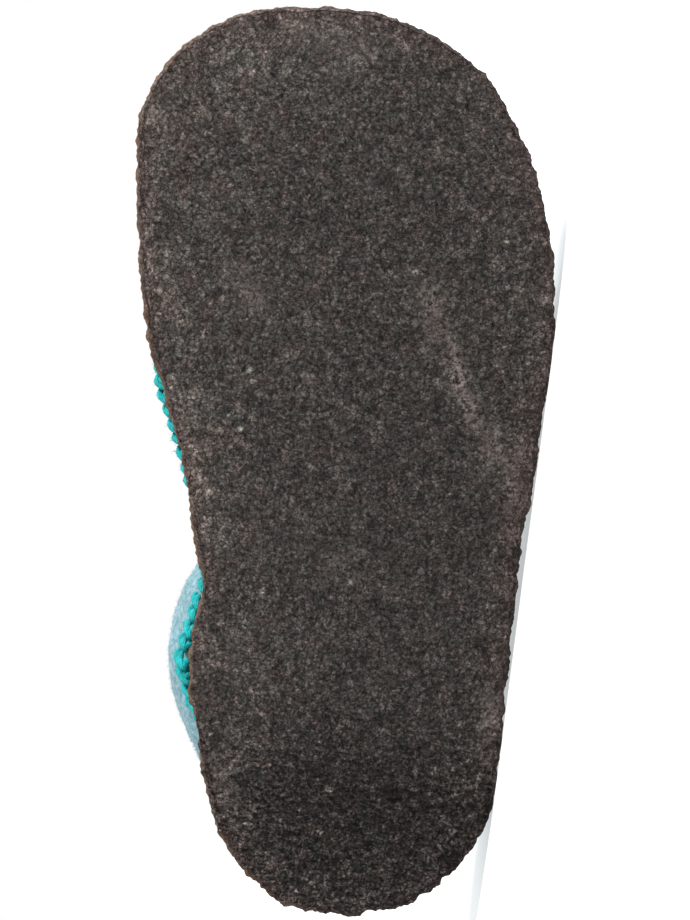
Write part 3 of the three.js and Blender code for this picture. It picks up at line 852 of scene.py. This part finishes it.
# Soft folds of the felt, as troughs between two points: seen in plan across the vamp, or from the
# side on the inner (-1) or outer (1) wall. Ends, half width and depth.
VAMP_FOLDS = (
    (((114, -22), (108, 2), (110, 24)), 3.8, 1.70),
    (((104, -24), (99, 0), (100, 22)), 3.0, 1.20),
    (((125, -14), (122, 8)), 4.2, 1.00),
)
SIDE_FOLDS = (
    (-1, ((64, 14), (69, 27), (66, 40)), 3.6, 1.40),
    (-1, ((38, 14), (70, 14)), 11.0, 0.45),
    (-1, ((28, 15), (38, 13), (50, 16)), 2.4, 0.60),
    (-1, ((20, 34), (30, 37), (42, 36)), 2.8, 0.95),
    (1, ((62, 14), (66, 28)), 3.4, 1.10),
    (1, ((22, 16), (34, 14)), 2.8, 0.90),
)
# Low ridges beside each trough: share of its depth, how far off and how wide, in half widths
FOLD_RIDGE, FOLD_RIDGE_OFF, FOLD_RIDGE_WIDTH = 0.35, 2.0, 0.8
# Height where the vamp's folds begin, and over how far these and the side folds come in
VAMP_FROM, VAMP_FADE, SIDE_FADE = 22.0, 10.0, 12.0
# Felting: size and height of the broad unevenness, the knots of wool and the fine pebble
FELTING = ((13.0, 0.35), (3.1, 0.22), (1.5, 0.14))
FELTING_AT_SEAM, SEAM_FADE = 0.35, 6.0
INSIDE_FELTING, INSIDE_SHIFT = 0.5, 50.0


def fold_depth(points):
    """Depth of the folds: a bell-shaped trough along each line, with a low ridge on either side."""
    depth = np.zeros(points.shape[:-1])

    def trough(reach):
        """1 in the middle of the line, below 0 on the ridge beside it, 0 far off."""
        ridge = np.exp(-((reach - FOLD_RIDGE_OFF) / FOLD_RIDGE_WIDTH) ** 2)
        return np.exp(-reach**2) - FOLD_RIDGE * ridge

    for line, half_width, deep in VAMP_FOLDS:
        top = np.clip((points[..., 2] - VAMP_FROM) / VAMP_FADE, 0, 1)
        depth += deep * top * trough(distance_to_line(points[..., :2], line) / half_width)
    for side, line, half_width, deep in SIDE_FOLDS:
        facing = np.clip(side * points[..., 1] / SIDE_FADE, 0, 1)
        reach = distance_to_line(points[..., [0, 2]], line) / half_width
        depth += deep * facing * trough(reach)
    return depth


def felt_lift(points):
    """How far felting lifts the surface: noise of each size in the table, added up."""
    return sum(height * lumps(points, size, SEED + 21 + k) for k, (size, height) in enumerate(FELTING))


def felt_outside(share, up):
    """The felted outside of the upper: the wall moved along its normal by felting and folds, which
    die away towards the sole so that the seam sits on it."""
    wall = upper_wall(share, up)
    normal = upper_normal(share, up)
    free = np.clip(up * SEAM_FADE, 0, 1)
    felting = FELTING_AT_SEAM + (1 - FELTING_AT_SEAM) * free
    lift = felt_lift(wall) * felting - fold_depth(wall) * free
    return wall + normal * lift[..., None], normal


def make_upper(material):
    """Rings of the outside up to the collar, round its soft edge, and down the inside, which is the
    outside moved in by the wall's thickness. The last ring meets the first under the wall."""
    around = np.arange(UPPER_AROUND) / UPPER_AROUND
    ups = np.linspace(0, 1, UPPER_UP)
    share, up = np.meshgrid(around, ups)
    outside, normal = felt_outside(share, up)
    climb = outside[-1] - outside[-4]
    climb /= np.linalg.norm(climb, axis=-1, keepdims=True)
    thick = WALL + INSIDE_FELTING * felt_lift(outside[-1] + INSIDE_SHIFT)[:, None]
    lip = []
    for turn in np.radians(np.linspace(0, 180, UPPER_LIP + 2)[1:-1]):
        inward = normal[-1] * thick * (1 - np.cos(turn)) / 2
        lip.append(outside[-1] - inward + climb * COLLAR_ROUND * np.sin(turn))
    share, up = np.meshgrid(around, np.linspace(1, 0, UPPER_DOWN))
    wall = upper_wall(share, up)
    facing = upper_normal(share, up)
    uneven = INSIDE_FELTING * felt_lift(wall + INSIDE_SHIFT) * np.clip(up * SEAM_FADE, 0, 1)
    inside = wall - facing * (WALL + uneven)[..., None]
    inside[0] = outside[-1] - normal[-1] * thick
    inside[-1, :, 2] = outside[0, :, 2]
    points = np.concatenate([outside, np.array(lip), inside])
    faces = [grid_quads(len(points), UPPER_AROUND, True, True)]
    return new_piece("upper_felt", points.reshape(-1, 3), faces, material, ["upper"])


# The insole

INSOLE_AROUND, INSOLE_RINGS, INSOLE_FIRST_RING = 360, 46, 0.02
INSOLE_SPINE = (25.0, 96.0)
INSOLE_EDGE_FROM, INSOLE_EDGE_DROP, INSOLE_EDGE_LOW = 0.965, 0.7, 0.55
INSOLE_WAVE_SIZE, INSOLE_WAVE, INSOLE_PEBBLE_SIZE, INSOLE_PEBBLE, INSOLE_SINK = 9.0, 0.30, 2.4, 0.10, 0.2


def make_insole(material):
    """A slab of felt: rings from the middle of its top out to the edge, round it, and back under to
    the middle. The top is felted and a little uneven."""
    share = np.arange(INSOLE_AROUND) / INSOLE_AROUND
    point, outward, _, section = upper_sections(share)
    inset = section["margin"] + WALL + INSOLE_CLEARANCE
    edge = point - outward * inset[:, None]
    spine = np.column_stack([np.clip(edge[:, 0], *INSOLE_SPINE), np.zeros(len(edge))])
    low = SOLE_THICKNESS + GAP
    rings = []
    for part in np.linspace(INSOLE_FIRST_RING, 1, INSOLE_RINGS):
        ring = spine + (edge - spine) * part
        corner = np.clip((part - INSOLE_EDGE_FROM) / (1 - INSOLE_EDGE_FROM), 0, 1)
        top = low + INSOLE_THICKNESS - INSOLE_EDGE_DROP * corner**2
        rings.append(np.column_stack([ring, tread_height(ring[:, 0]) + top]))
    under = ((1.0, INSOLE_EDGE_LOW), (1.0, 0.0), (0.5, 0.0), (INSOLE_FIRST_RING, 0.0))
    for part, height in under:
        ring = spine + (edge - spine) * part
        rings.append(np.column_stack([ring, tread_height(ring[:, 0]) + low + height]))
    points = np.array(rings)
    top = points[:INSOLE_RINGS]
    wave = INSOLE_WAVE * lumps(top, INSOLE_WAVE_SIZE, SEED + 31)
    pebble = INSOLE_PEBBLE * lumps(top, INSOLE_PEBBLE_SIZE, SEED + 32)
    top[..., 2] += wave + pebble - INSOLE_SINK
    flat = np.concatenate([points.reshape(-1, 3), [top[0].mean(0)], [points[-1].mean(0)]])
    rows = len(points)
    ring = np.arange(INSOLE_AROUND)
    after = (ring + 1) % INSOLE_AROUND
    upper_cap = np.stack([after, ring, np.full(INSOLE_AROUND, len(flat) - 2)], -1)
    last = (rows - 1) * INSOLE_AROUND
    lower_cap = np.stack([last + ring, last + after, np.full(INSOLE_AROUND, len(flat) - 1)], -1)
    quads = grid_quads(rows, INSOLE_AROUND, wrap_columns=True)[:, ::-1]
    faces = [quads, upper_cap[:, ::-1], lower_cap[:, ::-1]]
    return new_piece("insole_felt", flat, faces, material, ["insole"])


# The overcast seam

PLY_AROUND, STITCH_ALONG = 6, 7
STITCH_LOW, STITCH_HIGH = -0.7, 5.6
STITCH_SLANT = 0.8
# How unlike the stitches are: their places and slants in stitch widths, heights, and fullness
STRAY_PLACE, STRAY_HEIGHT, STRAY_SLANT, STRAY_FULLNESS = 0.07, 0.35, 0.10, 0.08
PLIES = 3
PLY_RADIUS, PLY_OFFSET, PLY_TURNS = 0.58, 0.58, 0.55
YARN_RADIUS = PLY_RADIUS + PLY_OFFSET
# A stitch's middle line: share of its length, distance off the wall. It starts under the felt's edge
# and is drawn half into the felt.
STITCH_ARCH = np.array([
    (0, -0.70), (0.16, 0.10), (0.33, 0.40), (0.5, 0.45), (0.67, 0.42), (0.84, 0.18), (1, -0.9)])
# How full the yarn is along a stitch
STITCH_FULLNESS = np.array([(0, 1.28), (0.3, 1.06), (0.7, 1.0), (1, 0.66)])
# How far the seam is pulled out, by its distance from the heel on the inner side
SEAM_PULL = np.array([
    (34, -0.10), (40, 0.10), (44, 0.05), (50, -0.05), (56, 0.02), (62, 0.0), (68, -0.10), (73.4, -0.60),
    (75.5, -0.55), (78.3, 0.0), (81, 0.20), (86.6, 0.40), (89.2, 0.22), (92, 0.66), (94.3, 0.66),
    (99, -0.5), (106, -0.3), (116, 0.0)])


def stitch_paths():
    """Middle line of every stitch: it climbs the wall at a slant and arches off it, and sinks into
    the felt at its top and into the joint with the sole at its foot. No two are quite alike. Also
    the wall's normals there and how full the yarn is."""
    random = np.random.default_rng(SEED)
    pitch = 1 / STITCH_COUNT
    start = (np.arange(STITCH_COUNT) + 0.5 + random.normal(0, STRAY_PLACE, STITCH_COUNT)) * pitch
    part = np.linspace(0, 1, STITCH_ALONG)
    high = STITCH_HIGH + random.normal(0, STRAY_HEIGHT, STITCH_COUNT)
    slant = STITCH_SLANT + random.normal(0, STRAY_SLANT, STITCH_COUNT)
    share = start[:, None] + slant[:, None] * (part - 0.5) * pitch
    height = STITCH_LOW + part * (high[:, None] - STITCH_LOW)
    up = up_at_height(share, np.maximum(height, 0))
    wall = upper_wall(share, up)
    normal = upper_normal(share, up)
    wall[..., 2] += np.minimum(height, 0)
    loose = 1 + random.normal(0, STRAY_FULLNESS, STITCH_COUNT)[:, None]
    pull = np.interp(wall[..., 0], *SEAM_PULL.T) * (wall[..., 1] < 0)
    lift = np.interp(part, *STITCH_ARCH.T) * loose + pull * np.sin(np.pi * part)
    full = np.interp(part, *STITCH_FULLNESS.T) * loose
    return wall + normal * lift[..., None], normal, full


def make_stitches(material):
    """Plied yarn along each stitch's middle line: strands that wind round it like a helix, each
    a closed tube, fuller at the foot and thinner at the top."""
    middle, normal, full = stitch_paths()
    tangent = np.gradient(middle, axis=1)
    tangent /= np.linalg.norm(tangent, axis=-1, keepdims=True)
    side = np.cross(tangent, normal)
    side /= np.linalg.norm(side, axis=-1, keepdims=True)
    out = np.cross(side, tangent)
    along = np.linspace(0, 1, STITCH_ALONG)
    first_turn = np.random.default_rng(SEED + 3).random((STITCH_COUNT, 1)) * 2 * np.pi
    phase = np.stack([first_turn + 2 * np.pi * (PLY_TURNS * along + ply / PLIES)
                      for ply in range(PLIES)], 1)[..., None]
    full = full[:, None, :, None]
    wind = np.cos(phase) * out[:, None] + np.sin(phase) * side[:, None]
    strand = middle[:, None] + PLY_OFFSET * full * wind
    turn = (np.arange(PLY_AROUND) / PLY_AROUND * 2 * np.pi)[:, None]
    ring = np.cos(turn) * out[:, None, :, None] + np.sin(turn) * side[:, None, :, None]
    tubes = strand[..., None, :] + PLY_RADIUS * full[..., None] * ring
    each = STITCH_ALONG * PLY_AROUND
    quads = grid_quads(STITCH_ALONG, PLY_AROUND, wrap_columns=True)[:, ::-1]
    ends = np.array([np.arange(PLY_AROUND), each - 1 - np.arange(PLY_AROUND)])
    offset = (np.arange(STITCH_COUNT * PLIES) * each)[:, None, None]
    faces = [(quads[None] + offset).reshape(-1, 4), (ends[None] + offset).reshape(-1, PLY_AROUND)]
    piece = new_piece("overcast_stitches", tubes.reshape(-1, 3), faces, material,
                      ["seam_stitches"])
    round_ply, length = np.meshgrid(turn[:, 0] * PLY_RADIUS, along * (STITCH_HIGH - STITCH_LOW))
    spun = np.tile(np.stack([round_ply, length], -1).reshape(-1, 2), (STITCH_COUNT * PLIES, 1))
    corner = np.empty(len(piece.data.loops), np.int32)
    piece.data.loops.foreach_get("vertex_index", corner)
    layer = piece.data.uv_layers.new(name="ply")
    layer.uv.foreach_set("vector", spun[corner].astype(np.float32).ravel())
    return piece


# Loose fibres of the wool

FIBRE_SIDES = 3
FIBRE_CURL, FIBRE_ROOT, FIBRE_TAPER = 0.42, 0.08, 0.8


def fibres(name, roots, normal, length, radius, lie, material, seed):
    """Loose wool fibres: each is a slim three-sided spike that leaves its root along the surface
    and bends, with a closed foot and one point at its tip."""
    random = np.random.default_rng(seed)
    count = len(roots)
    wander = random.normal(size=(count, 3))
    flat = wander - (wander * normal).sum(-1, keepdims=True) * normal
    flat /= np.linalg.norm(flat, axis=-1, keepdims=True)
    rise = lie[0] + (lie[1] - lie[0]) * random.random((count, 1))
    first = flat * np.cos(rise) + normal * np.sin(rise)
    bend = first + FIBRE_CURL * random.normal(size=(count, 3))
    bend /= np.linalg.norm(bend, axis=-1, keepdims=True)
    size = length[0] + (length[1] - length[0]) * random.random((count, 1)) ** 2
    knee = roots + first * size * 0.5
    tip = knee + bend * size * 0.5
    turn = np.arange(FIBRE_SIDES) / FIBRE_SIDES * 2 * np.pi
    aside = np.cross(first, normal)
    aside /= np.linalg.norm(aside, axis=-1, keepdims=True)
    third = np.cross(first, aside)
    ring = np.cos(turn)[None, :, None] * aside[:, None] + np.sin(turn)[None, :, None] * third[:, None]
    foot = roots[:, None] - FIBRE_ROOT * normal[:, None] + radius * ring
    middle = knee[:, None] + FIBRE_TAPER * radius * ring
    points = np.concatenate([foot, middle, tip[:, None]], axis=1)
    each = 2 * FIBRE_SIDES + 1
    step = np.arange(FIBRE_SIDES)
    after = (step + 1) % FIBRE_SIDES
    quads = np.stack([step, after, FIBRE_SIDES + after, FIBRE_SIDES + step], -1)
    tips = np.stack([FIBRE_SIDES + step, FIBRE_SIDES + after, np.full(FIBRE_SIDES, each - 1)], -1)
    base = step[None, ::-1]
    offset = (np.arange(count) * each)[:, None, None]
    faces = [(quads[None] + offset).reshape(-1, 4),
             np.concatenate([(tips[None] + offset).reshape(-1, 3), (base[None] + offset).reshape(-1, 3)])]
    return new_piece(name, points.reshape(-1, 3), faces, material)


NAP_COUNT, NAP_TOWARDS_COLLAR = 19000, 0.8
# Layers of the felt's nap: piece, shortest and longest fibre, radius, lowest and highest lean
NAPS = (
    ("felt_nap", (0.30, 1.15), 0.024, (0.2, 1.2)),
    ("felt_down", (0.15, 0.60), 0.028, (0.5, 1.4)),
)
YARN_FUZZ_PER_STITCH = 14
YARN_FUZZ_LENGTH, YARN_FUZZ_RADIUS, YARN_FUZZ_LEAN = (0.3, 1.1), 0.03, (0.2, 1.0)
YARN_FUZZ_SPREAD, YARN_FUZZ_ROOT = 0.6, 0.93


def make_nap(material):
    """Fibres scattered over the outside of the upper, longer ones and a shorter down."""
    for layer, (name, length, radius, lean) in enumerate(NAPS):
        random = np.random.default_rng(SEED + 51 + 10 * layer)
        share = random.random(NAP_COUNT)
        up = random.random(NAP_COUNT) ** NAP_TOWARDS_COLLAR
        roots, normal = felt_outside(share, up)
        fibres(name, roots, normal, length, radius, lean, material, SEED + 52 + 10 * layer)


def make_yarn_fuzz(material):
    """Short fibres that stand off the outer half of every stitch."""
    random = np.random.default_rng(SEED + 71)
    middle, normal, _ = stitch_paths()
    stitch = np.repeat(np.arange(STITCH_COUNT), YARN_FUZZ_PER_STITCH)
    spot = random.integers(1, STITCH_ALONG - 1, len(stitch))
    out = normal[stitch, spot] + YARN_FUZZ_SPREAD * random.normal(size=(len(stitch), 3))
    out /= np.linalg.norm(out, axis=-1, keepdims=True)
    roots = middle[stitch, spot] + out * YARN_RADIUS * YARN_FUZZ_ROOT
    return fibres("yarn_fuzz", roots, out, YARN_FUZZ_LENGTH, YARN_FUZZ_RADIUS, YARN_FUZZ_LEAN,
                  material, SEED + 72)


# Stage, light and camera

FLOOR_HALF_WIDTH = 8.0
FLOOR_GLOW = 0.48
WORLD_STRENGTH = 1.0
# Lamps: name, the way towards it, strength, how many degrees wide it looks
LAMPS = (
    ("key", (0.66, -0.50, 0.56), 4.2, 12),
    ("toe_side", (0.78, 0.50, 0.38), 2.4, 18),
    ("heel_side", (-0.80, 0.45, 0.35), 0.9, 50),
)


def make_stage(material):
    """A wide pale floor."""
    half = FLOOR_HALF_WIDTH
    rim = [(-half, -half, 0), (half, -half, 0), (half, half, 0), (-half, half, 0)]
    mesh = bpy.data.meshes.new("floor")
    mesh.from_pydata(rim, [], [(0, 1, 2, 3)])
    mesh.materials.append(material)
    floor = bpy.data.objects.new("floor", mesh)
    bpy.context.scene.collection.objects.link(floor)


def make_light():
    """Studio light: a white surround, a key lamp on the tread's side, high and towards the toe, and
    two weaker lamps on the upper's side, one at the toe and one at the heel."""
    world = bpy.data.worlds.new("studio")
    world.use_nodes = True
    background = world.node_tree.nodes["Background"]
    background.inputs["Color"].default_value = (1, 1, 1, 1)
    background.inputs["Strength"].default_value = WORLD_STRENGTH
    bpy.context.scene.world = world
    for name, towards, strength, spread in LAMPS:
        light = bpy.data.lights.new(name, "SUN")
        light.energy = strength
        light.angle = np.radians(spread)
        lamp = bpy.data.objects.new(name, light)
        lamp.rotation_euler = (-Vector(towards)).to_track_quat("-Z", "Y").to_euler()
        bpy.context.scene.collection.objects.link(lamp)


def make_camera():
    """Square on to the tread, toe upwards in the picture, so far off that the sole's widest edge,
    a little behind the tread, spans the same stretch of the picture as in the photograph."""
    millimetres_per_pixel = SOLE_LENGTH / (PHOTO_SOLE_BOTTOM - PHOTO_SOLE_TOP)
    distance = CAMERA_LENS / CAMERA_SENSOR * PHOTO_HEIGHT * millimetres_per_pixel
    along = (PHOTO_SOLE_BOTTOM - PHOTO_HEIGHT / 2) * millimetres_per_pixel
    across = (PHOTO_WIDTH / 2 - PHOTO_MIDDLE_LINE) * millimetres_per_pixel
    spot = SHOE_ORIGIN + np.array([along, across, EDGE_BEHIND_TREAD - distance]) / 1000 @ SHOE_AXES
    data = bpy.data.cameras.new("camera")
    data.lens = CAMERA_LENS
    data.sensor_width = CAMERA_SENSOR
    data.sensor_fit = "AUTO"
    camera = bpy.data.objects.new("camera", data)
    ahead, aside, up = SHOE_AXES
    camera.matrix_world = Matrix(np.vstack([
        np.column_stack([aside, ahead, -up, spot]), (0, 0, 0, 1)]).tolist())
    bpy.context.scene.collection.objects.link(camera)
    bpy.context.scene.camera = camera


make_camera()
make_light()
make_stage(plain_floor())

blue = felt("blue_felt", *BLUE_FELT)
grey_wool = felt("grey_felt", *GREY_FELT)
turquoise = wool_yarn()
make_outsole(granular_rubber())
make_upper(blue)
make_insole(grey_wool)
make_stitches(turquoise)
make_nap(blue)
make_yarn_fuzz(turquoise)

bpy.context.scene.view_settings.view_transform = "Standard"
